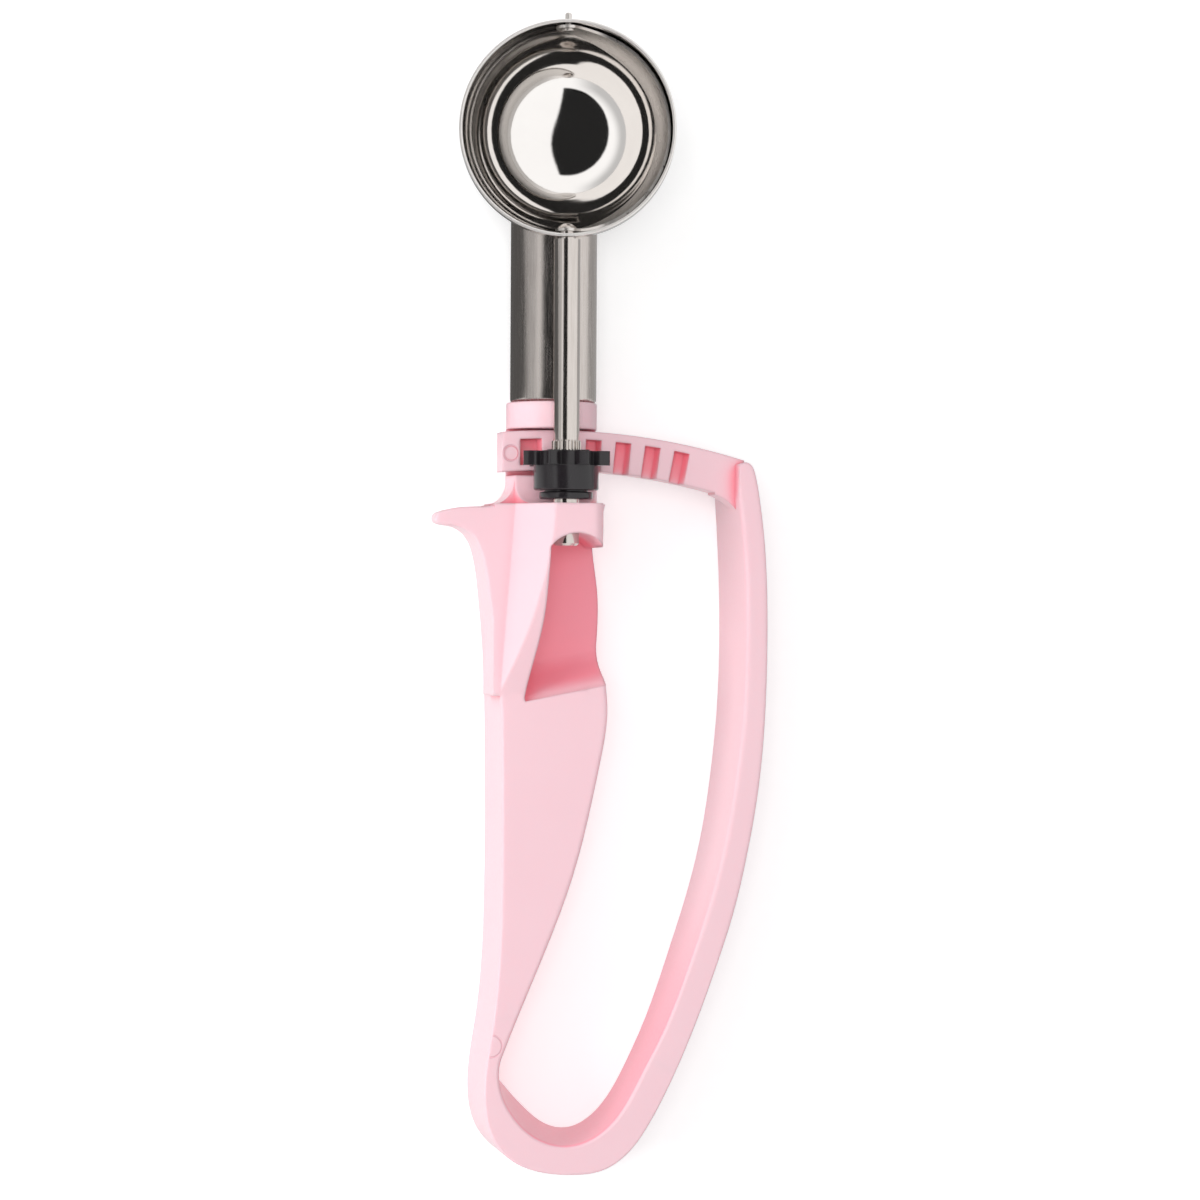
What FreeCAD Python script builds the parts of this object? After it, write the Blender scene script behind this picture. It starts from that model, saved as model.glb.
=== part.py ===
import FreeCAD, Part
import math
import os

V = FreeCAD.Vector

# Driving dimensions, in mm. Plan coordinates: X right, Y toward the bowl's tip,
# Z up out of the open bowl, with the drive rod's axis on X = 0, Z = 0.

# bowl
bowl_y = 85.2
bowl_outer = 19.65
bowl_wall = 0.65
rim_z = 2.3
mouth_turn_deg = -13.3

# scraper blade
blade_gap = 0.3
blade_t = 0.5
blade_top = -1.2
blade_bottom = -8.9
ear_r = 2.2

# drive rod
rod_r = 2.38
rod_neck_r = 1.5
rod_bottom = 9.8
rod_shoulder = 65.2
knurl_r = 2.66
knurl_y = (26.9, 28.9)
knurl_ridges = 24
run_fit = 0.05

# tip pin
pin_r = 0.62
pin_top = 106.3

# shank tube
tube_r = 7.94
tube_wall = 0.8
tube_z = -11.2
tube_bottom = 36.2

# moulded handle
z_back = -19.9
z_front = -3.4
edge_r = 0.5
inner_edge_r = 0.8
collar_r = 8.35
neck_r = 8.45
neck_x = -0.3
spigot_r = 7.1
spigot_top = 49.0
channel_top = 31.3
channel_bottom = 22.7
channel_z = -11.5
recess_z = -7.3
bridge_top = 17.46
bridge_z = 4.8
pocket_z = -12.0

# rack and pinion
module = 1.732
teeth = 7
pressure_deg = 14.5
tip_r = 8.0
root_r = 5.2
backlash = 0.3
pinion_y = (24.3, 26.9)
hub_r = 5.9
hub_bottom = 19.8
ring_r = 4.85
ring_y = (18.2, 19.5)
pivot_y = -95.0
rack_outer = 126.0
rack_inner = 118.75
rack_z = -6.2
rack_back = -11.2
slot_floor = -8.4
slot_top = 124.5
slot_ease = 0.15
slots = 5
first_slot_x = 0.95
arm_left = -10.5
wide_recess = (-7.2, -4.6)

# where the one moulding is divided into grip, bend and lever
grip_end_y = -76.0
lever_start = (19.4, -85.4)
lever_start_dir = (0.47, 0.88)

pitch_r = module * teeth / 2.0
pitch = math.pi * module
rack_r = (pinion_y[0] + pinion_y[1]) / 2.0 - pivot_y
pressure = math.radians(pressure_deg)


def box(x0, x1, y0, y1, z0, z1):
    """A box between two corners."""
    return Part.makeBox(x1 - x0, y1 - y0, z1 - z0, V(x0, y0, z0))


def cyl_y(r, y0, y1, x=0.0, z=0.0):
    """A cylinder along Y."""
    return Part.makeCylinder(r, y1 - y0, V(x, y0, z), V(0, 1, 0))


def spline(points):
    """A smooth edge through plan points."""
    curve = Part.BSplineCurve()
    curve.interpolate([V(x, y, 0) for x, y in points])
    return curve.toShape()


def line(a, b):
    """A straight edge between two plan points."""
    return Part.makeLine(V(a[0], a[1], 0), V(b[0], b[1], 0))


def prism(edges, z0, z1):
    """The closed plan outline raised from z0 to z1."""
    wire = Part.Wire(Part.__sortEdges__(edges))
    solid = Part.Face(wire).extrude(V(0, 0, z1 - z0))
    solid.translate(V(0, 0, z0))
    return solid


def side_prism(edges, x0, x1):
    """A closed outline in the YZ plane, drawn as (y, z), pushed along X."""
    wire = Part.Wire(Part.__sortEdges__(edges))
    face = Part.Face(wire)
    turn = FreeCAD.Placement(V(x0, 0, 0), FreeCAD.Rotation(V(0, 1, 0), V(0, 0, 1), V(1, 0, 0), "XYZ"))
    face.Placement = turn
    return face.extrude(V(x1 - x0, 0, 0))


def fillet_where(solid, radius, wanted):
    """Round the edges whose centre passes the test."""
    edges = [e for e in solid.Edges if wanted(e)]
    return solid.makeFillet(radius, edges)


def make_bowl():
    """Hemisphere about the blade's axis, with a straight lip above it, drawn from one sheet."""
    inner = bowl_outer - bowl_wall
    centre = V(0, bowl_y, 0)
    along = V(0, 1, 0)
    shell = Part.makeSphere(bowl_outer, centre, along).cut(Part.makeSphere(inner, centre, along))
    shell = shell.cut(box(-30, 30, bowl_y - 30, bowl_y + 30, 0, 30))
    lip = Part.makeCylinder(bowl_outer, rim_z, centre).cut(Part.makeCylinder(inner, rim_z, centre))
    lip = fillet_where(lip, 0.2, lambda e: e.BoundBox.ZMin > rim_z - 0.01)
    shell = shell.fuse(lip)
    shell = shell.cut(cyl_y(rod_neck_r + run_fit, bowl_y - 22.0, bowl_y - 17.0))
    shell = shell.cut(cyl_y(pin_r + run_fit, bowl_y + 17.0, bowl_y + 22.0))
    shell.rotate(V(0, 0, 0), V(0, 1, 0), mouth_turn_deg)
    return shell


def make_tube():
    """Shank tube, coped to the bowl at the top, with its lower edge rolled in."""
    tube = cyl_y(tube_r, tube_bottom, bowl_y, z=tube_z)
    tube = fillet_where(tube, 0.7, lambda e: e.BoundBox.YMax < tube_bottom + 0.01)
    tube = tube.cut(cyl_y(tube_r - tube_wall, tube_bottom - 1.0, bowl_y + 1.0, z=tube_z))
    return tube.cut(Part.makeSphere(bowl_outer + 0.02, V(0, bowl_y, 0)))


def make_rod():
    """Drive rod with a knurled band over the pinion and a peened end inside the bowl."""
    rod = cyl_y(rod_r, rod_bottom, rod_shoulder)
    rod = rod.makeChamfer(0.4, [e for e in rod.Edges if e.BoundBox.YMax < rod_bottom + 0.01])
    foot_y = bowl_y - (bowl_outer - bowl_wall - blade_gap - blade_t)
    rod = rod.fuse(cyl_y(rod_neck_r, rod_shoulder, foot_y + 0.15))
    peen = Part.makeSphere(2.1, V(0, foot_y - 0.9, 0))
    peen = peen.common(box(-3, 3, foot_y + 0.15, foot_y + 3, -3, 3))
    rod = rod.fuse(peen)
    ridge = 0.42
    for i in range(knurl_ridges):
        spline_tooth = Part.makeBox(ridge, knurl_y[1] - knurl_y[0], 1.2, V(-ridge / 2, knurl_y[0], knurl_r - 1.2))
        spline_tooth.rotate(V(0, 0, 0), V(0, 1, 0), 360.0 * i / knurl_ridges)
        rod = rod.fuse(spline_tooth)
    return rod.removeSplitter()


def make_blade():
    """Strip bent to the bowl's inside radius, hung from an ear over each pivot, with its
    top edge just under the rim."""
    outer = bowl_outer - bowl_wall - blade_gap
    centre = V(0, bowl_y, 0)
    shell = Part.makeSphere(outer, centre).cut(Part.makeSphere(outer - blade_t, centre))
    low = [(-0.7 * ear_r, -0.714 * ear_r), (2.6, -5.2), (8.0, -7.6), (13.5, -8.3), (20.0, blade_bottom)]
    high = [(20.0, blade_top), (8.0, blade_top), (3.6, -0.4), (0.5 * ear_r, 0.866 * ear_r)]
    ear = Part.Arc(V(*high[-1], 0), V(-0.95 * ear_r, 0.31 * ear_r, 0), V(*low[0], 0)).toShape()
    side = prism([spline(low), line(low[-1], high[0]), line(high[0], high[1]), spline(high[1:]), ear], -30, 30)
    side.rotate(V(0, 0, 0), V(1, 0, 0), 90)
    side.translate(V(0, bowl_y, 0))
    strip = shell.common(side)
    strip = strip.cut(cyl_y(rod_neck_r, bowl_y - 22.0, bowl_y - 15.0))
    strip = strip.cut(cyl_y(pin_r, bowl_y + 15.0, bowl_y + 22.0))
    strip.rotate(V(0, 0, 0), V(0, 1, 0), mouth_turn_deg)
    return strip


def make_pin():
    """Domed pivot pin through the bowl's tip, with a flat head inside the blade's foot."""
    head_y = bowl_y + bowl_outer - bowl_wall - blade_gap - blade_t
    pin = cyl_y(pin_r, head_y - 0.1, pin_top)
    pin = pin.makeFillet(0.4, [e for e in pin.Edges if e.BoundBox.YMin > pin_top - 0.01])
    return pin.fuse(cyl_y(1.2, head_y - 0.5, head_y - 0.1))


def gear_outline():
    """Plan of the pinion's teeth: involute flanks down to the base circle, then radial."""
    base_r = pitch_r * math.cos(pressure)
    inv0 = math.tan(pressure) - pressure
    half0 = (pitch / 2.0 - backlash) / 2.0 / pitch_r

    def half_angle(r):
        if r <= base_r:
            return half0 + inv0
        a = math.acos(base_r / r)
        return half0 + inv0 - (math.tan(a) - a)

    def at(r, a):
        return (r * math.sin(a), -r * math.cos(a))

    steps = [base_r + (tip_r - base_r) * i / 5.0 for i in range(6)]
    edges = []
    phase = first_slot_x / pitch_r
    for k in range(teeth):
        mid = phase + 2 * math.pi * k / teeth
        gap = phase + 2 * math.pi * (k + 1) / teeth
        rising = [at(r, mid - half_angle(r)) for r in steps]
        falling = [at(r, mid + half_angle(r)) for r in reversed(steps)]
        root_a = at(root_r, mid - half_angle(root_r))
        root_b = at(root_r, mid + half_angle(root_r))
        root_c = at(root_r, gap - half_angle(root_r))
        edges.append(line(root_a, rising[0]))
        edges.append(spline(rising))
        tip = at(tip_r, mid)
        edges.append(Part.Arc(V(*rising[-1], 0), V(*tip, 0), V(*falling[0], 0)).toShape())
        edges.append(spline(falling))
        edges.append(line(falling[-1], root_b))
        low = at(root_r, (mid + gap) / 2.0)
        edges.append(Part.Arc(V(*root_b, 0), V(*low, 0), V(*root_c, 0)).toShape())
    return edges


def make_pinion():
    """Seven teeth on a plain hub, pressed on the rod's knurl."""
    disc = prism(gear_outline(), 0, pinion_y[1] - pinion_y[0])
    disc.Placement = FreeCAD.Placement(V(0, pinion_y[1], 0), FreeCAD.Rotation(V(1, 0, 0), 90))
    hub = cyl_y(hub_r, hub_bottom, pinion_y[0])
    hub = fillet_where(hub, 0.35, lambda e: e.BoundBox.YMax < hub_bottom + 0.01)
    body = disc.fuse(hub).fuse(cyl_y(4.0, ring_y[1], hub_bottom))
    return body.cut(cyl_y(rod_r, 10.0, 40.0)).removeSplitter()


def make_ring():
    """Turned ring between the pinion and the bridge."""
    ring = cyl_y(ring_r, ring_y[0], ring_y[1])
    ring = ring.makeChamfer(0.35, [e for e in ring.Edges if e.Length > 20.0])
    return ring.cut(cyl_y(rod_r, 10.0, 40.0))


def between(back, front):
    """Solid between a closed plan outline on the back face and one on the front face."""
    wires = []
    for z, edges in ((z_back, back), (z_front, front)):
        wire = Part.Wire(edges)
        wire.translate(V(0, 0, z))
        wires.append(wire)
    return Part.makeLoft(wires, True, True)


def handle_outside(guard):
    """Outer plan of the one-piece handle: down the lever, round the bend, up the grip's
    left side and out along the thumb guard."""
    lever_top = (34.9, 25.6)
    outer = [lever_top, (35.9, 25.1), (36.7, 23.4), (37.5, 19.4), (38.7, 9.4), (39.2, -4.0),
             (38.9, -20.0), (37.6, -35.0), (35.7, -46.0), (33.1, -57.1), (29.5, -68.1),
             (25.4, -79.0), (21.8, -87.2), (17.5, -95.4), (13.4, -101.0), (8.6, -104.2),
             (2.3, -104.9), (-3.3, -104.2), (-8.8, -101.8), (-12.6, -97.0), (-13.8, -91.2),
             (-13.6, -85.6), (-12.5, -78.2), (-11.6, -70.8), (-10.9, -56.0), (-10.8, -42.0),
             (-10.9, -28.0)] + guard
    corner = (8.3, bridge_top)
    return [spline(outer), line(outer[-1], corner), line(corner, outer[0])]


def finger_gap(bend, lever_side):
    """Plan of the space between grip and lever, open above the lever's arm."""
    grip_side = [(8.3, bridge_top), (7.75, 9.0), (8.75, 1.0), (8.6, -8.0), (8.45, -14.0),
                 (8.9, -19.5), (7.7, -29.3), (5.35, -40.2), (2.4, -51.1), (-1.65, -62.0),
                 (-6.2, -72.8), (-10.6, -83.6)]
    low = [grip_side[-1]] + bend + lever_side
    top_y = rack_outer + pivot_y
    left = (grip_side[0][0], top_y)
    right = (33.6, top_y)
    return [spline(grip_side), spline(low), line(low[-1], right), line(right, left),
            line(left, grip_side[0])]


def make_moulding():
    """The one-piece strip. Its walls lean: the guard is undercut, the lever is thicker at
    the back, and so is the bend's left corner."""
    guard_front = [(-11.3, -16.0), (-12.1, -8.0), (-13.2, -1.0), (-14.1, 5.0), (-15.1, 8.9),
                   (-16.7, 11.7), (-19.0, 13.1), (-21.9, 13.5), (-23.3, 14.2), (-23.2, 15.3),
                   (-21.8, 16.1), (-17.2, 16.8), (-11.0, bridge_top)]
    guard_back = [(-11.1, -16.0), (-11.5, -8.0), (-12.1, -1.0), (-12.7, 4.5), (-13.5, 8.6),
                  (-14.9, 11.6), (-17.6, 13.3), (-20.9, 13.7), (-22.4, 14.3), (-22.3, 15.3),
                  (-21.2, 16.0), (-17.2, 16.8), (-11.0, bridge_top)]
    bend_front = [(-11.0, -86.7), (-10.0, -91.2), (-7.9, -94.6), (-5.4, -97.1), (-2.3, -98.8),
                  (1.4, -99.5), (6.0, -98.4), (9.8, -95.7), (13.2, -91.2)]
    bend_back = [(-10.0, -87.0), (-7.7, -89.4), (-5.3, -92.1), (-3.4, -94.1), (-1.3, -96.1),
                 (1.9, -98.1), (5.6, -98.5), (10.0, -96.2), (14.0, -91.2)]
    lever_front = [(15.6, -86.7), (19.1, -80.0), (24.8, -65.8), (28.5, -54.8), (31.3, -43.8),
                   (33.2, -32.7), (34.5, -21.6), (35.0, -9.1), (34.7, 7.5), (33.5, 18.6)]
    lever_back = [(16.4, -86.7), (19.5, -80.0), (24.6, -65.8), (28.1, -54.8), (30.8, -43.8),
                  (32.5, -32.7), (33.6, -21.6), (34.1, -9.1), (33.8, 7.5), (33.2, 18.6)]
    strip = between(handle_outside(guard_back), handle_outside(guard_front))
    strip = strip.cut(between(finger_gap(bend_back, lever_back), finger_gap(bend_front, lever_front)))
    strip = fillet_where(strip, inner_edge_r, lambda e: e.BoundBox.ZLength < 0.01 and 50 < e.Length < 200)
    strip = fillet_where(strip, edge_r, lambda e: e.BoundBox.ZLength < 0.01 and e.Length > 200)
    thin = Part.Face(Part.makePolygon([V(-13.4, 0, z_back - 1), V(-26, 0, z_back - 1),
                                       V(-26, 0, -6.5), V(-13.4, 0, z_back - 1)]))
    return strip.cut(thin.extrude(V(0, 30, 0)))


def make_handle_body(strip):
    """Grip: the strip's left limb with neck, bridge, pocket and spigot."""
    grip = strip.common(box(-30, 12, grip_end_y, 40, -30, 10))
    neck = cyl_y(neck_r, bridge_top - 6.0, channel_top, x=neck_x, z=tube_z)
    collar = cyl_y(collar_r, channel_top - 0.5, tube_bottom, x=neck_x, z=tube_z)
    collar = fillet_where(collar, 0.4, lambda e: e.BoundBox.YMin > tube_bottom - 0.01)
    spigot = cyl_y(spigot_r, tube_bottom - 0.5, spigot_top, z=tube_z)
    spigot = spigot.makeChamfer(0.8, [e for e in spigot.Edges if e.BoundBox.YMin > spigot_top - 0.01])
    neck = neck.fuse(collar).fuse(spigot)
    neck = neck.cut(box(-12, 12, channel_bottom, channel_top, channel_z, 10))
    low = bridge_top + 2.6
    hollow = [line((channel_bottom + 0.1, recess_z), (low + 1.0, recess_z)),
              Part.Arc(V(low + 1.0, recess_z, 0), V(bridge_top + 1.05, recess_z + 1.05, 0),
                       V(bridge_top, recess_z + 3.6, 0)).toShape(),
              line((bridge_top, recess_z + 3.6), (bridge_top, 12)),
              line((bridge_top, 12), (channel_bottom + 0.1, 12)),
              line((channel_bottom + 0.1, 12), (channel_bottom + 0.1, recess_z))]
    neck = neck.cut(side_prism(hollow, -12, 12))
    flare = [Part.Arc(V(-8.0, 21.6, 0), V(-9.3, 18.6, 0), V(-12.6, 17.25, 0)).toShape(),
             line((-12.6, 17.25), (-12.6, 15.0)), line((-12.6, 15.0), (-6.0, 15.0)),
             line((-6.0, 15.0), (-6.0, 21.6)), line((-6.0, 21.6), (-8.0, 21.6))]
    neck = neck.fuse(prism(flare, -15.5, -7.6))
    grip = grip.fuse(neck)

    # bridge and the ridge that runs down from it beside the pocket
    crest = [(bridge_top, bridge_z), (11.0, bridge_z), (3.0, 3.6), (-4.0, 1.9), (-10.5, -0.5), (-17.5, z_front - 0.3)]
    profile = [spline(crest), line(crest[-1], (-17.5, -13.0)), line((-17.5, -13.0), (bridge_top, -13.0)),
               line((bridge_top, -13.0), (bridge_top, bridge_z))]
    ridge = side_prism(profile, -12.5, 6.3)
    ridge = fillet_where(ridge, 2.2, lambda e: e.BoundBox.XMin > 6.2 and e.BoundBox.ZMin > z_front - 1.0
                         and e.BoundBox.YLength > 20)
    facet = Part.Face(Part.makePolygon([V(-8.7, bridge_top, z_front), V(-2.9, bridge_top, bridge_z),
                                        V(-0.07, bridge_top, 8.8), V(-20.0, bridge_top, 8.8),
                                        V(-20.0, bridge_top, z_front), V(-8.7, bridge_top, z_front)]))
    facet.translate(V(0, 0.5, 0))
    lean = V(-2.65, -34.5, 0)
    ridge = ridge.cut(facet.extrude(lean * 1.1))
    grip = grip.fuse(ridge)

    # pocket, open to the right, with a ramp at its lower end
    left = [(-3.7, 9.6), (-3.9, 3.5), (-4.4, -3.6), (-5.3, -9.3), (-6.3, -14.8), (-6.6, -17.2)]
    plan = [Part.Arc(V(6.3, 9.6, 0), V(1.2, 12.1, 0), V(-3.7, 9.6, 0)).toShape(),
            spline(left),
            Part.Arc(V(-6.6, -17.2, 0), V(-6.4, -18.7, 0), V(-5.2, -19.1, 0)).toShape(),
            line((-5.2, -19.1), (14.0, -15.2)), line((14.0, -15.2), (14.0, 9.6)),
            line((14.0, 9.6), (6.3, 9.6))]
    well = prism(plan, pocket_z, 12)
    ramp = [line((30, pocket_z), (-10.5, pocket_z)),
            spline([(-10.5, pocket_z), (-12.2, pocket_z + 0.9), (-15.6, -6.3), (-17.2, z_front - 0.6)]),
            line((-17.2, z_front - 0.6), (-18.4, 12)), line((-18.4, 12), (30, 12)), line((30, 12), (30, pocket_z))]
    ramp_solid = side_prism(ramp, -30, 30)
    ramp_solid.rotate(V(0, -18.0, 0), V(0, 0, 1), 11.0)
    grip = grip.cut(well.common(ramp_solid))

    grip = grip.cut(cyl_y(rod_r + run_fit, bridge_top - 9.0, bridge_top + 1.0))
    return grip.removeSplitter()


def cut_line_solid(keep_lever):
    """Half plane across the lever's lower end, on the bend's side or the lever's side."""
    dx, dy = lever_start_dir
    sign = 1.0 if keep_lever else -1.0
    big = 200.0
    half = Part.makeBox(big, big, 60.0, V(0 if keep_lever else -big, -big / 2.0, -30.0))
    half.rotate(V(0, 0, 0), V(0, 0, 1), math.degrees(math.atan2(dy, dx)))
    half.translate(V(lever_start[0], lever_start[1], 0))
    return half


def make_bend(strip):
    """The thin U-shaped end of the moulding."""
    below = box(-30, 60, -120, grip_end_y, -30, 10)
    far = cut_line_solid(True)
    return strip.common(below).cut(far)


def slot_tool(angle_deg, r0, r1):
    """One tooth space of the rack, along the radius at this angle from the swing axis."""
    slope = math.tan(pressure)
    mouth_z = rack_z + 1.0
    mouth = pitch / 4.0 + slot_ease + (mouth_z + pitch_r) * slope
    floor = pitch / 4.0 + slot_ease + (slot_floor + pitch_r) * slope
    pts = [V(-floor, 0, slot_floor), V(floor, 0, slot_floor), V(mouth, 0, mouth_z), V(-mouth, 0, mouth_z)]
    tool = Part.Face(Part.makePolygon(pts + pts[:1])).extrude(V(0, r1 - r0, 0))
    tool.translate(V(0, pivot_y + r0, 0))
    tool.rotate(V(0, pivot_y, 0), V(0, 0, 1), -angle_deg)
    return tool


def make_lever(strip):
    """Lever strap with its rack arm, an arc about the swing axis that ends in a plain pad."""
    strap = strip.common(cut_line_solid(True)).common(box(12, 60, -100, 40, -30, 10))
    centre = V(0, pivot_y, 0)
    depth = rack_z - rack_back
    arc = Part.makeCylinder(rack_outer, depth, centre + V(0, 0, rack_back), V(0, 0, 1))
    arc = arc.cut(Part.makeCylinder(rack_inner, depth + 2, centre + V(0, 0, rack_back - 1), V(0, 0, 1)))
    arm = arc.common(box(arm_left, 35.2, 0, 40, -30, 10))
    arm = arm.cut(Part.makeCylinder(1.3, 1.0, V(arm_left + 1.6, 26.7, rack_z - 0.12), V(0, 0, 1)))

    first = math.degrees(first_slot_x / rack_r)
    step = math.degrees(pitch / rack_r)
    for k in range(slots):
        arm = arm.cut(slot_tool(first + k * step, rack_inner - 1.0, slot_top))
    arm = arm.cut(slot_tool(first - step, rack_inner + 1.0, slot_top))
    wide = Part.makeCylinder(slot_top, 6, centre + V(0, 0, slot_floor), V(0, 0, 1))
    wide = wide.cut(Part.makeCylinder(rack_inner + 1.0, 8, centre + V(0, 0, slot_floor - 1), V(0, 0, 1)))
    wide = wide.common(box(wide_recess[0], wide_recess[1], 0, 40, -30, 10))
    arm = arm.cut(wide)
    gusset = [Part.Arc(V(29.6, 19.6, 0), V(33.0, 17.6, 0), V(35.4, 13.2, 0)).toShape(),
              line((35.4, 13.2), (36.0, 13.2)), line((36.0, 13.2), (36.0, 21.8)),
              line((36.0, 21.8), (29.6, 21.8)), line((29.6, 21.8), (29.6, 19.6))]
    return strap.fuse(arm).fuse(prism(gusset, rack_back, rack_z)).removeSplitter()


strip = make_moulding()
pieces = {
    "bowl": make_bowl(),
    "shank_tube": make_tube(),
    "drive_rod": make_rod(),
    "scraper_blade": make_blade(),
    "blade_tip_pin": make_pin(),
    "pinion": make_pinion(),
    "thrust_ring": make_ring(),
    "grip": make_handle_body(strip),
    "spring_bend": make_bend(strip),
    "lever": make_lever(strip),
}

bounds = FreeCAD.BoundBox()
for solid in pieces.values():
    bounds.add(solid.optimalBoundingBox())
shift = V(-bounds.Center.x, -bounds.Center.y, -bounds.ZMin)

os.makedirs("parts", exist_ok=True)
for name, solid in pieces.items():
    solid.translate(shift)
    solid.exportStep("parts/" + name + ".step")
    print(name, len(solid.Solids), solid.isValid(), round(solid.Volume, 1))
print("shift", shift)
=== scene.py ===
import math

import bpy
import numpy as np
from mathutils import Matrix, Vector


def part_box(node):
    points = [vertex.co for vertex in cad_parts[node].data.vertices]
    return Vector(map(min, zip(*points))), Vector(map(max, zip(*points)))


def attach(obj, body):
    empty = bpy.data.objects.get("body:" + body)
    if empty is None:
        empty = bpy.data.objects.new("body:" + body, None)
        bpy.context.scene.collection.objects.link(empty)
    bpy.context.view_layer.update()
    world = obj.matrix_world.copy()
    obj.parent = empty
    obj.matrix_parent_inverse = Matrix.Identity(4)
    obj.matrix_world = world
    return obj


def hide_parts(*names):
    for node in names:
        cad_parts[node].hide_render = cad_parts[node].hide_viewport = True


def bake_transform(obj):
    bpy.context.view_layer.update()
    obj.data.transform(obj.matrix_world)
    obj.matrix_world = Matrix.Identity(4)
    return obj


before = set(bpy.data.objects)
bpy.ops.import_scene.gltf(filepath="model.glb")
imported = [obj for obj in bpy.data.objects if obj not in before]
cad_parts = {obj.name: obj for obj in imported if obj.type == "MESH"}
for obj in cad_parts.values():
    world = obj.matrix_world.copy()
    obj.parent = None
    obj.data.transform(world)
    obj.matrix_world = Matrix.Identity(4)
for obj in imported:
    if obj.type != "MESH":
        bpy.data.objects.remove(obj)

# The imported CAD model is the frame that everything below is built on.
scene = bpy.context.scene
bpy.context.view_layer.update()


# Camera. The scoop lies on its back and is seen from a little to the left of straight
# above, square on to the bowl's mouth, from 0.6 m away with a long lens.
view_tilt = math.radians(13.3)
view_roll = math.radians(0.3)
view_distance = 0.6
aim = Vector((-0.00151, -0.00069, 0.0199))
toward_camera = Vector((-math.sin(view_tilt), 0.0, math.cos(view_tilt)))
across = Vector((math.cos(view_tilt), 0.0, math.sin(view_tilt)))
along = Vector((0.0, 1.0, 0.0))
picture_right = across * math.cos(view_roll) + along * math.sin(view_roll)
picture_up = along * math.cos(view_roll) - across * math.sin(view_roll)

camera = bpy.data.objects.new("camera", bpy.data.cameras.new("camera"))
scene.collection.objects.link(camera)
camera.data.sensor_width = 36.0
camera.data.lens = 99.17
camera.data.clip_start = 0.01
camera.matrix_world = Matrix.LocRotScale(
    aim + toward_camera * view_distance,
    Matrix((picture_right, picture_up, toward_camera)).transposed(),
    None,
)
scene.camera = camera
scene.view_settings.view_transform = "Standard"


# Studio. A white room, which polished steel shows as it is round the camera: a round dark
# patch behind the camera, white from just right of it, grey on the left. White card below.
patch_right = math.radians(4.0)
patch_down = math.radians(8.0)
patch_inner = math.radians(35.0)
patch_outer = math.radians(38.0)
patch_cut = math.radians(6.0)
cut_softness = 0.02
left_grey = ((0.8, 0.6), (0.0, -0.5))
horizon_grey = ((0.34, 0.2), (0.0, -0.2))
room_white = 1.12
patch_depth = 1.1
grey_depth = 0.5
even_light = 0.5

card_darkest, card_palest = 0.86, 0.9
card_lift = 0.36
card_in_steel = 0.95
# Painted reflections: dark and grey strips beside the shank, shown by the card to mirror rays alone.
painted_dark_reflection, painted_grey_reflection = 0.14, 0.5
strip_ends_y = ((0.022, 0.034), (0.09, 0.075))
dark_to_grey_x = (-0.012, 0.004)
floor_half = 2.0
floor_drop = 0.0001

lamps = {
    "front_lamp": ((-0.16, 0.05, 0.75), 0.3, 1.5),
    "key_lamp": ((-0.4, 0.25, 0.55), 0.35, 0.5),
    "left_lamp": ((-0.55, -0.05, 0.27), 0.3, 1.8),
}


def add(tree, kind, sockets=None, **settings):
    """Adds a node, sets its properties, and sets or links its input sockets by name or number."""
    made = tree.nodes.new(kind)
    for key, value in settings.items():
        setattr(made, key, value)
    for key, value in (sockets or {}).items():
        if isinstance(value, bpy.types.NodeSocket):
            tree.links.new(value, made.inputs[key])
        else:
            made.inputs[key].default_value = value
    return made


def ramp(tree, value, start, end):
    """Smooth step from 0 to 1 as the value goes from start to end."""
    ends = {0: value, 1: start, 2: end}
    return add(tree, "ShaderNodeMapRange", ends, interpolation_type="SMOOTHSTEP").outputs[0]


def maths(tree, operation, *values):
    """One step of arithmetic on sockets or numbers."""
    return add(tree, "ShaderNodeMath", dict(enumerate(values)), operation=operation).outputs[0]


def product(tree, *shares):
    """All the shares multiplied together."""
    total = shares[0]
    for share in shares[1:]:
        total = maths(tree, "MULTIPLY", total, share)
    return total


def dot(tree, first, second):
    """How far one direction or place reaches along another."""
    pair = {0: first, 1: second}
    return add(tree, "ShaderNodeVectorMath", pair, operation="DOT_PRODUCT").outputs["Value"]


def noise(tree, where, scale, detail, **sockets):
    """Noise from 0 to 1 with so many grains to a metre."""
    inputs = {"Vector": where, "Scale": scale, "Detail": detail, **sockets}
    return add(tree, "ShaderNodeTexNoise", inputs).outputs["Fac"]


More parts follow.
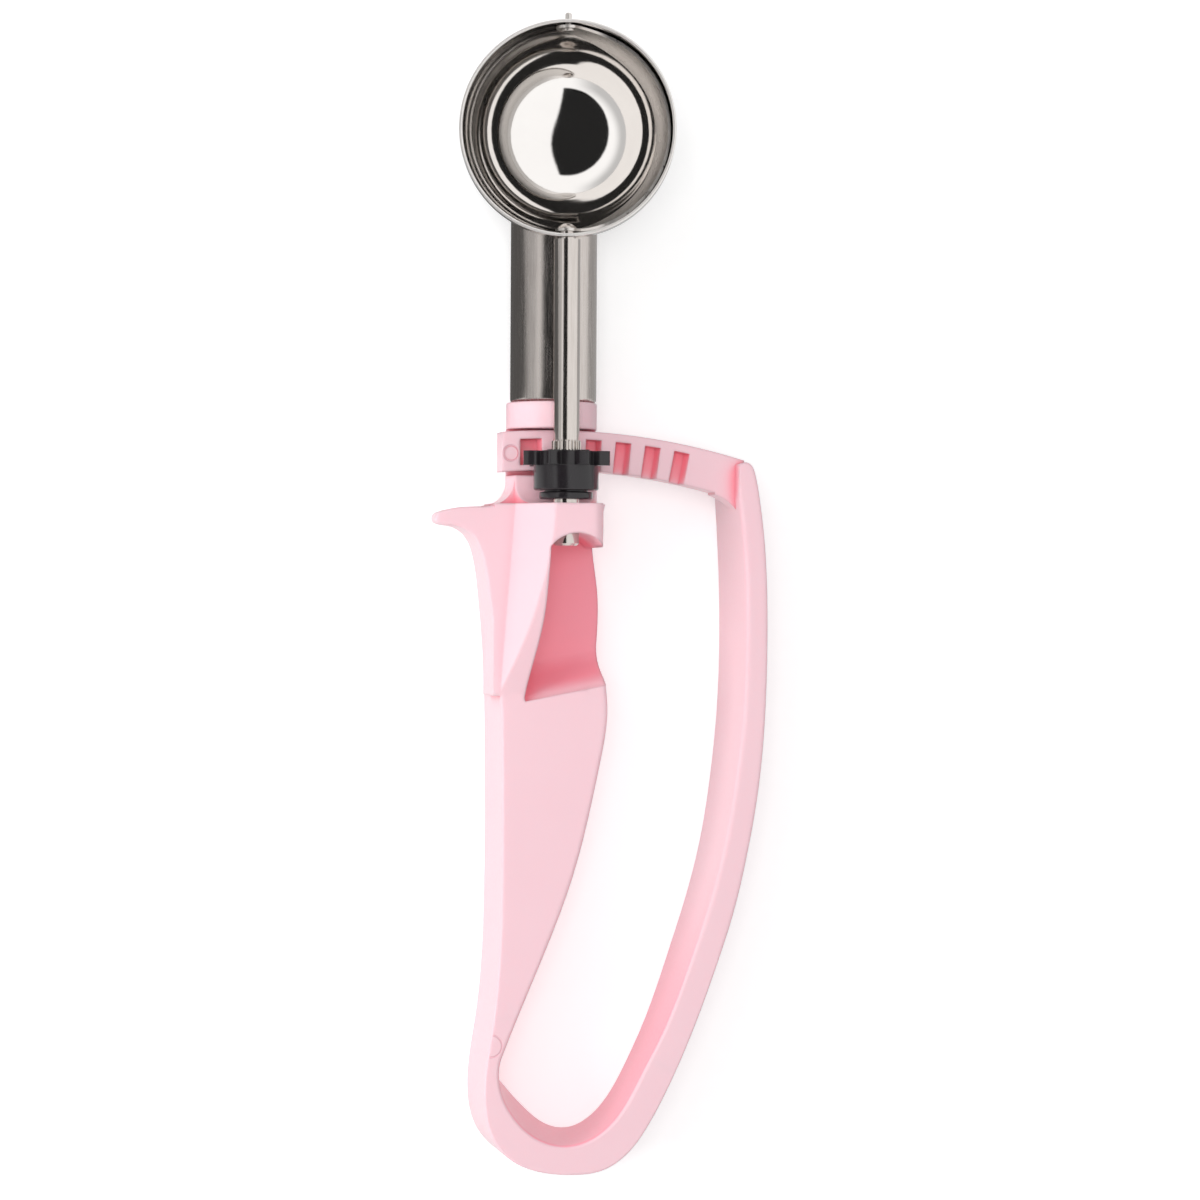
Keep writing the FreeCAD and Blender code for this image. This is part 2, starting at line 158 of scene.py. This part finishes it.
def room_light():
    """World whose brightness, for mirror rays, is white less a dark disc that is cut off
    straight just right of the camera, and less a grey that deepens twice toward the left
    horizon. Other rays see plain even light, and the camera sees white."""
    world = bpy.data.worlds.new("white_room")
    world.use_nodes = True
    tree = world.node_tree
    tree.nodes.clear()
    ray = add(tree, "ShaderNodeTexCoord").outputs["Generated"]
    patch_axis = toward_camera + across * math.tan(patch_right) - along * math.tan(patch_down)
    patch_axis.normalize()
    ahead = dot(tree, ray, toward_camera)
    side = dot(tree, ray, across)
    disc = ramp(tree, dot(tree, ray, patch_axis), math.cos(patch_outer), math.cos(patch_inner))
    past_cut = maths(tree, "MULTIPLY_ADD", ahead, -math.tan(patch_cut), side)
    patch = product(tree, disc, ramp(tree, past_cut, cut_softness, -cut_softness))
    seen = maths(tree, "MULTIPLY_ADD", patch, -patch_depth, room_white)
    for ahead_ends, side_ends in (left_grey, horizon_grey):
        grey = product(tree, ramp(tree, ahead, *ahead_ends), ramp(tree, side, *side_ends))
        seen = maths(tree, "MULTIPLY_ADD", grey, -grey_depth, seen)
    path = add(tree, "ShaderNodeLightPath").outputs
    plain = maths(tree, "MULTIPLY_ADD", path["Is Camera Ray"], 1.0 - even_light, even_light)
    level = add(tree, "ShaderNodeMix", {0: path["Is Glossy Ray"], 2: plain, 3: seen}).outputs[0]
    back = add(tree, "ShaderNodeBackground", {"Color": (1.0, 1.0, 1.0, 1.0), "Strength": level})
    add(tree, "ShaderNodeOutputWorld", {"Surface": back.outputs[0]})
    return world


def floor_paint():
    """White card that keeps the scoop's soft shadow. Steel and gloss see it white too, but for a
    painted reflection: to mirror rays alone it glows as a dark strip left of the shank and a grey one
    right of it."""
    paint = bpy.data.materials.new("white_card")
    paint.use_nodes = True
    tree = paint.node_tree
    tree.nodes.clear()
    path = add(tree, "ShaderNodeLightPath").outputs
    where = add(tree, "ShaderNodeTexCoord").outputs["Object"]
    fibre = noise(tree, where, 400.0, 3.0)
    tone = add(tree, "ShaderNodeMapRange", {0: fibre, 3: card_darkest, 4: card_palest}).outputs[0]
    card = add(tree, "ShaderNodeBsdfDiffuse", {"Color": tone})
    lift_level = maths(tree, "MULTIPLY", path["Is Camera Ray"], card_lift)
    lift = add(tree, "ShaderNodeEmission", {"Strength": lift_level})
    lit = add(tree, "ShaderNodeAddShader", {0: card.outputs[0], 1: lift.outputs[0]})
    spot = add(tree, "ShaderNodeSeparateXYZ", {0: where}).outputs
    # Painted reflection: for mirror rays the card beside the shank glows dark on the left, grey on the
    # right.
    beside_shank = product(tree, *(ramp(tree, spot["Y"], *ends) for ends in strip_ends_y))
    to_right = ramp(tree, spot["X"], *dark_to_grey_x)
    strip = maths(tree, "MULTIPLY_ADD", to_right, painted_grey_reflection - painted_dark_reflection, painted_dark_reflection)
    seen = add(tree, "ShaderNodeMix", {0: beside_shank, 2: card_in_steel, 3: strip}).outputs[0]
    glow = add(tree, "ShaderNodeEmission", {"Strength": seen}).outputs[0]
    mixed = add(tree, "ShaderNodeMixShader", {0: path["Is Glossy Ray"], 1: lit.outputs[0], 2: glow})
    add(tree, "ShaderNodeOutputMaterial", {"Surface": mixed.outputs[0]})
    return paint


def soft_lamp(name, place, size, watts):
    """Square soft box aimed at the middle of the scoop, left out of mirror reflections."""
    lamp = bpy.data.objects.new(name, bpy.data.lights.new(name, "AREA"))
    scene.collection.objects.link(lamp)
    lamp.data.size = size
    lamp.data.energy = watts
    lamp.location = place
    lamp.rotation_euler = (aim - Vector(place)).to_track_quat("-Z", "Y").to_euler()
    lamp.visible_glossy = False
    return lamp


scene.world = room_light()
floor_corners = [(-1, -1), (1, -1), (1, 1), (-1, 1)]
floor_mesh = bpy.data.meshes.new("floor")
floor_mesh.from_pydata([(x * floor_half, y * floor_half, 0) for x, y in floor_corners], [], [(0, 1, 2, 3)])
floor_mesh.materials.append(floor_paint())
floor = bpy.data.objects.new("floor", floor_mesh)
scene.collection.objects.link(floor)
floor.location.z = -floor_drop
for lamp_name, (lamp_place, lamp_size, lamp_watts) in lamps.items():
    soft_lamp(lamp_name, lamp_place, lamp_size, lamp_watts)


# Bowl. A half round drawn from one thin stainless sheet, with a short straight lip and a
# rolled edge, polished like a mirror inside and out. The rod and the tip pin pass through it.
# Sizes are in mm from a point on the rod's axis, which the rod's box in the frame gives.
mm = 0.001
rod_foot = 9.8
rod_low, rod_high = (Vector(corner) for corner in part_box("drive_rod"))
rod_middle = (rod_low + rod_high) / 2
origin = np.array([rod_middle.x, rod_low.y - rod_foot * mm, rod_middle.z])

bowl_y = 85.2
bowl_outer = 19.65
bowl_wall = 0.65
bowl_inner = bowl_outer - bowl_wall
rim_z = 2.3
mouth_turn = math.radians(-13.3)
mouth_axis = Vector((math.sin(mouth_turn), 0.0, math.cos(mouth_turn)))
rod_hole_r, rod_hole_from, rod_hole_to = 1.55, 62.0, 69.0
pin_hole_r, pin_hole_from, pin_hole_to = 0.67, 101.0, 108.0
flat_rise, flat_width = 0.0015, 0.006
wall_from, wall_to = -12.0, -4.0
wall_dullness = 0.07
ground_from, ground_to = rim_z - 0.6, rim_z - 0.2
ground_dullness = 0.4


def shown(name, mesh, crease_deg):
    """Object for a mesh, smooth except where faces meet more sharply than the crease."""
    mesh.shade_smooth()
    mesh.set_sharp_from_angle(angle=math.radians(crease_deg))
    piece = bpy.data.objects.new(name, mesh)
    scene.collection.objects.link(piece)
    return piece


def skin(name, grid, ends=None):
    """Closed mesh on a grid of points whose columns wrap round. With ends, the first and
    last rows close on those two points; without, the rows close into a loop. Faces are
    flipped if the volume that they enclose comes out negative."""
    rows, columns = grid.shape[:2]
    index = np.arange(rows * columns).reshape(rows, columns)
    beside = np.roll(index, -1, axis=1)
    last = rows - 1 if ends is not None else rows
    above, above_beside = np.roll(index, -1, axis=0), np.roll(beside, -1, axis=0)
    quads = np.stack([index, beside, above_beside, above], axis=-1)[:last].reshape(-1, 4)
    points = grid.reshape(-1, 3)
    faces = quads.tolist()
    corners = points[quads]
    volume = np.einsum("ij,ij->", corners[:, 0], np.cross(corners[:, 1], corners[:, 2]))
    volume += np.einsum("ij,ij->", corners[:, 0], np.cross(corners[:, 2], corners[:, 3]))
    if ends is not None:
        points = np.vstack([points, ends])
        poles = np.full((2, columns), rows * columns)
        poles[1] += 1
        faces += np.stack([beside[0], index[0], poles[0]], axis=-1).tolist()
        faces += np.stack([index[-1], beside[-1], poles[1]], axis=-1).tolist()
    mesh = bpy.data.meshes.new(name)
    mesh.from_pydata(points.tolist(), [], faces)
    if volume < 0:
        mesh.flip_normals()
    return shown(name, mesh, 35.0)


def turned(name, radius, height, columns, pole_ends=True):
    """Solid of revolution about the rod's axis: the profile gives a radius for each height,
    in mm, and its first and last points lie on the axis, unless the profile is a loop."""
    angle = np.linspace(0.0, 2.0 * math.pi, columns, endpoint=False)
    radius, height = np.asarray(radius, float), np.asarray(height, float)
    inner = slice(1, -1) if pole_ends else slice(None)
    around = np.stack([np.cos(angle), np.zeros(columns), np.sin(angle)], axis=-1)
    grid = radius[inner, None, None] * around + height[inner, None, None] * np.array([0.0, 1.0, 0.0])
    ends = np.array([[0.0, height[0], 0.0], [0.0, height[-1], 0.0]]) if pole_ends else None
    return skin(name, origin + grid * mm, None if ends is None else origin + ends * mm)


def arc(centre_r, centre_h, size, start_deg, end_deg, steps):
    """Round stretch of a profile: radii centre_r + size * cos(turn), heights with the sine."""
    turn = np.radians(np.linspace(start_deg, end_deg, steps))
    return centre_r + size * np.cos(turn), centre_h + size * np.sin(turn)


def drill(name, radius, start, end, columns):
    """Round cutter on the rod's axis, from one height to another."""
    return turned(name, [0.0, radius, radius, 0.0], [start, start, end, end], columns)


def drilled(piece, *cutters):
    """The piece with each cutter taken out of it. The cutters are removed afterwards."""
    for cutter in cutters:
        hole = piece.modifiers.new("hole", "BOOLEAN")
        hole.operation = "DIFFERENCE"
        hole.solver = "EXACT"
        hole.object = cutter
    depsgraph = bpy.context.evaluated_depsgraph_get()
    mesh = bpy.data.meshes.new_from_object(piece.evaluated_get(depsgraph))
    piece.modifiers.clear()
    piece.data = mesh
    for cutter in cutters:
        bpy.data.objects.remove(cutter)
    return piece


def linear(red, green, blue):
    """A screen colour, 0 to 255 a channel, as the light level that a shader takes."""
    level = np.array([red, green, blue]) / 255.0
    return tuple(np.where(level <= 0.04045, level / 12.92, ((level + 0.055) / 1.055) ** 2.4)) + (1.0,)


def blended(tree, share, tone, other):
    """Tone that goes over to the other one as the share goes from 0 to 1."""
    return add(tree, "ShaderNodeMix", {0: share, 6: tone, 7: other}, data_type="RGBA").outputs[2]


def spread(tree, value, low, high, middle, part):
    """Number that goes from a part below its middle to a part above, as the value rises."""
    ends = {0: value, 1: low, 2: high, 3: middle * (1.0 - part), 4: middle * (1.0 + part)}
    return add(tree, "ShaderNodeMapRange", ends).outputs[0]


def steel(name, pale, deep, roughness, grain, depth):
    """Stainless steel whose tone, gloss and relief follow one noise, stretched by grain.
    Gives the material and its relief node, for a further relief to be put under it."""
    metal = bpy.data.materials.new(name)
    metal.use_nodes = True
    tree = metal.node_tree
    shader = tree.nodes["Principled BSDF"]
    where = add(tree, "ShaderNodeTexCoord").outputs["Object"]
    where = add(tree, "ShaderNodeMapping", {"Vector": where, "Scale": grain}).outputs[0]
    streaks = noise(tree, where, 1.0, 5.0, Roughness=0.6)
    relief = add(tree, "ShaderNodeBump", {"Strength": 0.5, "Distance": depth, "Height": streaks})
    shader.inputs["Metallic"].default_value = 1.0
    tree.links.new(blended(tree, streaks, deep, pale), shader.inputs["Base Color"])
    tree.links.new(spread(tree, streaks, 0.25, 0.75, roughness, 0.3), shader.inputs["Roughness"])
    tree.links.new(relief.outputs[0], shader.inputs["Normal"])
    return metal, relief


def bowl_finish(metal, polish):
    """The drawn bottom is a little flatter than the sphere: a relief raised by
    rise * exp(-r^2 / 2 width^2) at the distance r from the mouth's axis. The cut edge is
    ground, not polished, and the steep wall is polished less than the bottom."""
    tree = metal.node_tree
    where = add(tree, "ShaderNodeTexCoord").outputs["Object"]
    centre = Vector(origin) + Vector((0.0, bowl_y * mm, 0.0))
    from_centre = {0: where, 1: centre}
    from_centre = add(tree, "ShaderNodeVectorMath", from_centre, operation="SUBTRACT").outputs[0]
    up = dot(tree, from_centre, mouth_axis)
    r_squared = maths(tree, "SUBTRACT", dot(tree, from_centre, from_centre), product(tree, up, up))
    hump = maths(tree, "EXPONENT", product(tree, r_squared, -1 / (2 * flat_width**2)))
    height = product(tree, hump, flat_rise)
    dish = add(tree, "ShaderNodeBump", {"Strength": 1.0, "Distance": 1.0, "Height": height})
    tree.links.new(dish.outputs[0], polish.inputs["Normal"])
    rough = tree.nodes["Principled BSDF"].inputs["Roughness"]
    wall = product(tree, ramp(tree, up, wall_from * mm, wall_to * mm), wall_dullness)
    ground = product(tree, ramp(tree, up, ground_from * mm, ground_to * mm), ground_dullness)
    total = maths(tree, "ADD", maths(tree, "ADD", rough.links[0].from_socket, wall), ground)
    tree.links.new(total, rough)


def finish_piece(piece, material, body, node):
    """Gives a piece its one material, hides its CAD node, and puts the piece under its body's empty when a
    body is named.
    """
    piece.data.materials.clear()
    piece.data.materials.append(material)
    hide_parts(node)
    if body:
        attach(piece, body)


outside = arc(0.0, 0.0, bowl_outer, -90.0, 0.0, steps=90)
edge = arc(bowl_outer - bowl_wall / 2, rim_z - bowl_wall / 2, bowl_wall / 2, 0.0, 180.0, steps=11)
inside = arc(0.0, 0.0, bowl_inner, 0.0, -90.0, steps=96)
bowl_r, bowl_z = (np.concatenate(part) for part in zip(outside, edge, inside))
bowl = turned("polished_bowl", bowl_r, bowl_z, 256)
stand_up = Matrix.Rotation(math.radians(90.0), 4, "X")
face_mouth = Matrix.Rotation(mouth_turn, 4, "Y")
to_bowl = Matrix.Translation(Vector(origin) + Vector((0.0, bowl_y * mm, 0.0)))
bowl.data.transform(to_bowl @ face_mouth @ stand_up @ Matrix.Translation(-Vector(origin)))
rod_hole = drill("rod_hole", rod_hole_r, rod_hole_from, rod_hole_to, 48)
pin_hole = drill("pin_hole", pin_hole_r, pin_hole_from, pin_hole_to, 32)
bowl = drilled(bowl, rod_hole, pin_hole)
mirror_steel, polish_relief = steel(
    "mirror_steel",
    pale=linear(244, 241, 238),
    deep=linear(232, 228, 225),
    roughness=0.05,
    grain=(70, 70, 70),
    depth=0.00004,
)
bowl_finish(mirror_steel, polish_relief)
finish_piece(bowl, mirror_steel, "frame", "bowl")


# Shank. A plain stainless tube, brushed lengthwise, its lower edge rolled in over the
# handle's spigot and its upper edge cut to the bowl's curve and welded to it.
tube_r = 7.94
tube_wall = 0.8
tube_z = -11.2
tube_bottom = 36.2
tube_rolled = 0.7
tube_top_gap = 0.02
foot_rows = 8
wall_rows = 12


def tube_grid(columns):
    """Rows run up the outside and down the inside. Each column ends where the line at that
    angle meets the bowl's sphere: y = bowl_y - sqrt(R^2 - x^2 - z^2)."""
    angle = np.linspace(0.0, 2.0 * math.pi, columns, endpoint=False)
    foot_r, foot_y = arc(
        tube_r - tube_rolled, tube_bottom + tube_rolled, tube_rolled, -90.0, 0.0, foot_rows
    )
    inner_r = tube_r - tube_wall
    radius = np.concatenate([foot_r, np.full(wall_rows, tube_r), np.full(wall_rows, inner_r)])
    start = np.concatenate([foot_y, np.full(wall_rows, foot_y[-1]), np.full(wall_rows, tube_bottom)])
    rising, falling = np.linspace(0.08, 1.0, wall_rows), np.linspace(1.0, 0.0, wall_rows)
    share = np.concatenate([np.zeros(foot_rows), rising, falling])
    x = radius[:, None] * np.sin(angle)
    z = tube_z + radius[:, None] * np.cos(angle)
    top = bowl_y - np.sqrt((bowl_outer + tube_top_gap) ** 2 - x**2 - z**2)
    y = start[:, None] + (top - start[:, None]) * share[:, None]
    return np.stack([x, y, z], axis=-1)


tube = skin("brushed_shank", origin + tube_grid(160) * mm)
shank_steel, _ = steel(
    "shank_steel",
    pale=linear(214, 207, 202),
    deep=linear(176, 168, 163),
    roughness=0.24,
    grain=(2500, 160, 2500),
    depth=0.000015,
)
finish_piece(tube, shank_steel, "frame", "shank_tube")


# Drive rod. Ground stainless rod, with a band of fine ridges rolled round it that bite into
# the pinion, a thinner neck through the bowl's wall and an end peened over the blade's ear.
rod_r = 2.38
rod_chamfer = 0.4
rod_neck_r = 1.5
rod_shoulder = 65.2
knurl_r = 2.66
knurl_from, knurl_to = 26.9, 28.9
knurl_run_in = 0.25
knurl_ridges = 24
peen_from = 67.15
peen_foot_r = 1.82
peen_size = 2.1
peen_centre = 66.1


def rod_grid(columns):
    """The profile's radius, raised in the knurled band by ridges that follow a clipped
    cosine of the angle, 24 to a turn."""
    stretches = [
        (rod_r - rod_chamfer, [rod_foot]),
        (rod_r, [rod_foot + rod_chamfer]),
        (rod_r, np.linspace(11.0, 26.8, 8)),
        (rod_r, [knurl_from, knurl_from + knurl_run_in, knurl_to - knurl_run_in, knurl_to]),
        (rod_r, np.linspace(29.0, 65.0, 16)),
        (rod_r, [rod_shoulder]),
        (rod_neck_r, [rod_shoulder, peen_from]),
        (peen_foot_r, [peen_from]),
    ]
    cap_r, cap_y = arc(0.0, peen_centre, peen_size, 30.0, 84.0, steps=8)
    r = np.concatenate([np.full(len(rows), radius) for radius, rows in stretches] + [cap_r])
    y = np.concatenate([rows for _, rows in stretches] + [cap_y])
    angle = np.linspace(0.0, 2.0 * math.pi, columns, endpoint=False)
    band = np.clip(np.minimum(y - knurl_from, knurl_to - y) / knurl_run_in, 0.0, 1.0)
    ridge = np.clip(np.cos(knurl_ridges * angle) * 1.6 + 0.3, 0.0, 1.0)
    radius = r[:, None] + (knurl_r - rod_r) * band[:, None] * ridge
    height = np.broadcast_to(y[:, None], radius.shape)
    return np.stack([radius * np.cos(angle), height, radius * np.sin(angle)], axis=-1)


rod_ends = np.array([[0.0, rod_foot, 0.0], [0.0, peen_centre + peen_size, 0.0]])
rod = skin("ground_rod", origin + rod_grid(240) * mm, origin + rod_ends * mm)
rod_steel, _ = steel(
    "rod_steel",
    pale=linear(222, 215, 210),
    deep=linear(188, 180, 174),
    roughness=0.16,
    grain=(1800, 90, 1800),
    depth=0.00001,
)
finish_piece(rod, rod_steel, "drive", "drive_rod")


# Blade and tip pin. The blade is a strip of springy stainless bent to the inside of the bowl,
# with an ear over each pivot. The pin is a small domed rivet through the bowl's tip.
pin_head = 103.4
pin_top = 106.3
pin_shank_r = 0.62
dome_size = 0.4


def joined(node, name, crease_deg):
    """The CAD node's own surface with the corners of its loose triangles joined, so that
    round stretches shade smoothly and flat ones stay flat."""
    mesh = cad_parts[node].data
    places = np.empty(len(mesh.vertices) * 3)
    mesh.vertices.foreach_get("co", places)
    corners = np.empty(len(mesh.loops), int)
    mesh.loops.foreach_get("vertex_index", corners)
    spots, index = np.unique(np.round(places.reshape(-1, 3), 7), axis=0, return_inverse=True)
    faces = index.ravel()[corners].reshape(-1, 3)
    whole = np.all(faces != np.roll(faces, 1, axis=1), axis=1)
    made = bpy.data.meshes.new(name)
    made.from_pydata(spots.tolist(), [], faces[whole].tolist())
    piece = shown(name, made, crease_deg)
    flatten = piece.modifiers.new("flat_faces", "WEIGHTED_NORMAL")
    flatten.keep_sharp = True
    return piece


blade = joined("scraper_blade", "spring_blade", 35.0)
blade_steel, _ = steel(
    "blade_steel",
    pale=linear(230, 226, 222),
    deep=linear(204, 198, 193),
    roughness=0.32,
    grain=(400, 400, 2600),
    depth=0.00001,
)
finish_piece(blade, blade_steel, "drive", "scraper_blade")

dome_r, dome_y = arc(pin_shank_r - dome_size, pin_top - dome_size, dome_size, 0.0, 90.0, steps=7)
head_r = [0.0, 1.1, 1.2, 1.2, pin_shank_r]
head_y = pin_head + np.array([-0.5, -0.5, -0.4, -0.1, -0.1])
pin_r = np.concatenate([head_r, dome_r, [0.0]])
pin_y = np.concatenate([head_y, dome_y, [pin_top]])
pin = turned("tip_rivet", pin_r, pin_y, 48)
finish_piece(pin, blade_steel, "drive", "blade_tip_pin")


# Pinion and thrust ring. Black moulded plastic, smooth and a little glossy: seven teeth on a
# plain hub pressed on the rod's ridges, and a separate ring that runs on the bridge.
ring_bore = 2.38
ring_outer = 4.85
ring_low, ring_high = 18.2, 19.5
ring_inset = np.array([0.35, 0.13, 0.03, 0.0])
ring_rise = np.array([0.0, 0.04, 0.14, 0.3])


def plastic(name, pale, deep, roughness, drift, grain, depth, round_over, from_y=-200.0):
    """Moulded plastic: a slow drift between two tones, a fine grain in gloss and relief, and
    edges that shade as rounded over by a small radius above the height from_y. Gives the
    material, its tone and its relief node."""
    moulded = bpy.data.materials.new(name)
    moulded.use_nodes = True
    tree = moulded.node_tree
    shader = tree.nodes["Principled BSDF"]
    where = add(tree, "ShaderNodeTexCoord").outputs["Object"]
    slow = noise(tree, where, drift, 2.0)
    fine = noise(tree, where, grain, 3.0)
    tone = blended(tree, slow, deep, pale)
    soft_edge = add(tree, "ShaderNodeBevel", {"Radius": round_over}, samples=6).outputs[0]
    plain_edge = add(tree, "ShaderNodeNewGeometry").outputs["Normal"]
    start = origin[1] + from_y * mm
    height = add(tree, "ShaderNodeSeparateXYZ", {0: where}).outputs["Y"]
    edges = {0: ramp(tree, height, start, start + 6.0 * mm), 4: plain_edge, 5: soft_edge}
    normal = add(tree, "ShaderNodeMix", edges, data_type="VECTOR").outputs[1]
    grained = {"Strength": 0.3, "Distance": depth, "Height": fine, "Normal": normal}
    relief = add(tree, "ShaderNodeBump", grained)
    tree.links.new(tone, shader.inputs["Base Color"])
    tree.links.new(spread(tree, fine, 0.3, 0.7, roughness, 0.15), shader.inputs["Roughness"])
    tree.links.new(relief.outputs[0], shader.inputs["Normal"])
    return moulded, tone, relief


black, _, _ = plastic(
    "black_plastic",
    pale=linear(38, 34, 37),
    deep=linear(26, 23, 26),
    roughness=0.2,
    drift=90.0,
    grain=1800.0,
    depth=0.000004,
    round_over=0.0002,
)
pinion = joined("pinion", "black_pinion", 40.0)
finish_piece(pinion, black, "drive", "pinion")

ring_side = ring_outer - ring_inset
ring_r = np.concatenate([[ring_bore], ring_side, ring_side[::-1], [ring_bore]])
ring_y = np.concatenate([[ring_low], ring_low + ring_rise, (ring_high - ring_rise)[::-1], [ring_high]])
ring = turned("black_ring", ring_r, ring_y, 96, pole_ends=False)
finish_piece(ring, black, "drive", "thrust_ring")


# Handle. Grip, bend and lever are one moulding in satin pink plastic. The bend is the spring:
# squeezed, it flexes between the grip, which stays, and the lever, which swings.
hollow_reach = 0.005
gap_middle = np.array([8.0, -60.0, -11.6])
gap_deep_from, gap_deep_to = -45.0, -88.0
pocket_edges = {
    "X": ((-8.2, -7.0), (15.0, 13.0)),
    "Y": ((-21.0, -18.0), (13.0, 11.5)),
    "Z": ((-3.0, -8.0),),
}
ejector_rings = [(-8.9, 26.7, 1.42), (-12.6, -81.0, 2.0)]
satin = {
    "Coat Weight": 0.25,
    "Coat Roughness": 0.3,
    "Subsurface Weight": 0.12,
    "Subsurface Scale": 0.0015,
    "Subsurface Radius": (1.0, 0.45, 0.5),
}


def paint_hollow_shade(tree, tone, deep):
    """Painted shade in hollows: the tone goes over to a deeper one as the piece's own walls
    shut out the room within a short reach, painted for light that has passed through the pink again and
    again."""
    room = add(tree, "ShaderNodeAmbientOcclusion", {"Distance": hollow_reach}, samples=12, only_local=True)
    shut = ramp(tree, room.outputs["AO"], 0.92, 0.42)
    return blended(tree, shut, tone, deep)


def paint_wall_shade(tree, tone, deep):
    """Painted shade on the inner wall of the U: its tone deepens downward along the loop where
    the wall faces the middle of the finger gap, painted for light that reaches it mostly through the
    plastic."""
    where = add(tree, "ShaderNodeTexCoord").outputs["Object"]
    to_middle = {0: origin + gap_middle * mm, 1: where}
    inward = add(tree, "ShaderNodeVectorMath", to_middle, operation="SUBTRACT").outputs[0]
    inward = add(tree, "ShaderNodeVectorMath", {0: inward}, operation="NORMALIZE").outputs[0]
    facing = dot(tree, add(tree, "ShaderNodeNewGeometry").outputs["True Normal"], inward)
    height = add(tree, "ShaderNodeSeparateXYZ", {0: where}).outputs["Y"]
    low = ramp(tree, height, origin[1] + gap_deep_from * mm, origin[1] + gap_deep_to * mm)
    return blended(tree, product(tree, low, ramp(tree, facing, 0.3, 0.6)), tone, deep)


def paint_pocket_shade(tree, tone, deep):
    """Painted shade in the pocket: the pocket's floor is a thin web, and its tone deepens from
    the rim down to the floor, inside the pocket's length and width, painted for light that soaks through
    that web."""
    where = add(tree, "ShaderNodeTexCoord").outputs["Object"]
    from_origin = {0: where, 1: origin}
    from_origin = add(tree, "ShaderNodeVectorMath", from_origin, operation="SUBTRACT").outputs[0]
    spot = add(tree, "ShaderNodeSeparateXYZ", {0: from_origin}).outputs
    shares = [
        ramp(tree, spot[axis], start * mm, end * mm)
        for axis, edges in pocket_edges.items()
        for start, end in edges
    ]
    return blended(tree, product(tree, *shares), tone, deep)


def ejector_marks(tree, tone, relief, deep):
    """Fine rings that the mould's round ejectors left on its front faces: a groove where the
    plan distance from a centre comes near the ring's radius. Its tone is also deepened half way, a painted
    shade in the groove."""
    where = add(tree, "ShaderNodeTexCoord").outputs["Object"]
    plan = {0: where, 1: (1.0, 1.0, 0.0)}
    plan = add(tree, "ShaderNodeVectorMath", plan, operation="MULTIPLY").outputs[0]
    normal = add(tree, "ShaderNodeNewGeometry").outputs["Normal"]
    facing = add(tree, "ShaderNodeSeparateXYZ", {0: normal}).outputs["Z"]
    front = ramp(tree, facing, 0.9, 0.98)
    groove = 0.0
    for x, y, radius in ejector_rings:
        centre = origin + np.array([x, y, 0.0]) * mm
        centre[2] = 0.0
        apart = add(tree, "ShaderNodeVectorMath", {0: plan, 1: centre}, operation="DISTANCE")
        off = maths(tree, "ABSOLUTE", maths(tree, "SUBTRACT", apart.outputs["Value"], radius * mm))
        ring = product(tree, ramp(tree, off, 0.22 * mm, 0.06 * mm), front)
        groove = maths(tree, "MAXIMUM", groove, ring)
    cut = {"Strength": 1.0, "Distance": 0.08 * mm, "Height": groove}
    cut = add(tree, "ShaderNodeBump", cut, invert=True)
    tree.links.new(relief.inputs["Normal"].links[0].from_socket, cut.inputs["Normal"])
    tree.links.new(cut.outputs[0], relief.inputs["Normal"])
    # Painted shade: the groove's tone goes half way to the deeper pink.
    return blended(tree, product(tree, groove, 0.5), tone, deep)


pink, pink_tone, pink_relief = plastic(
    "pink_plastic",
    pale=linear(248, 209, 217),
    deep=linear(245, 203, 212),
    roughness=0.38,
    drift=45.0,
    grain=1500.0,
    depth=0.00001,
    round_over=0.0008,
    from_y=-68.0,
)
pink_tree = pink.node_tree
pink_shader = pink_tree.nodes["Principled BSDF"]
# Painted shade: the pink deepens in hollows, low on the U's inner wall, in the pocket and in the ejector
# rings' grooves.
pink_tone = paint_hollow_shade(pink_tree, pink_tone, linear(248, 138, 154))
pink_tone = paint_wall_shade(pink_tree, pink_tone, linear(255, 170, 186))
pink_tone = paint_pocket_shade(pink_tree, pink_tone, linear(255, 158, 173))
pink_tone = ejector_marks(pink_tree, pink_tone, pink_relief, linear(232, 160, 175))
pink_tree.links.new(pink_tone, pink_shader.inputs["Base Color"])
for socket, value in satin.items():
    pink_shader.inputs[socket].default_value = value

grip = joined("grip", "pink_grip", 50.0)
finish_piece(grip, pink, "frame", "grip")
lever = joined("lever", "pink_lever", 50.0)
finish_piece(lever, pink, "lever", "lever")
bend = joined("spring_bend", "pink_bend", 50.0)
finish_piece(bend, pink, None, "spring_bend")
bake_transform(bend)
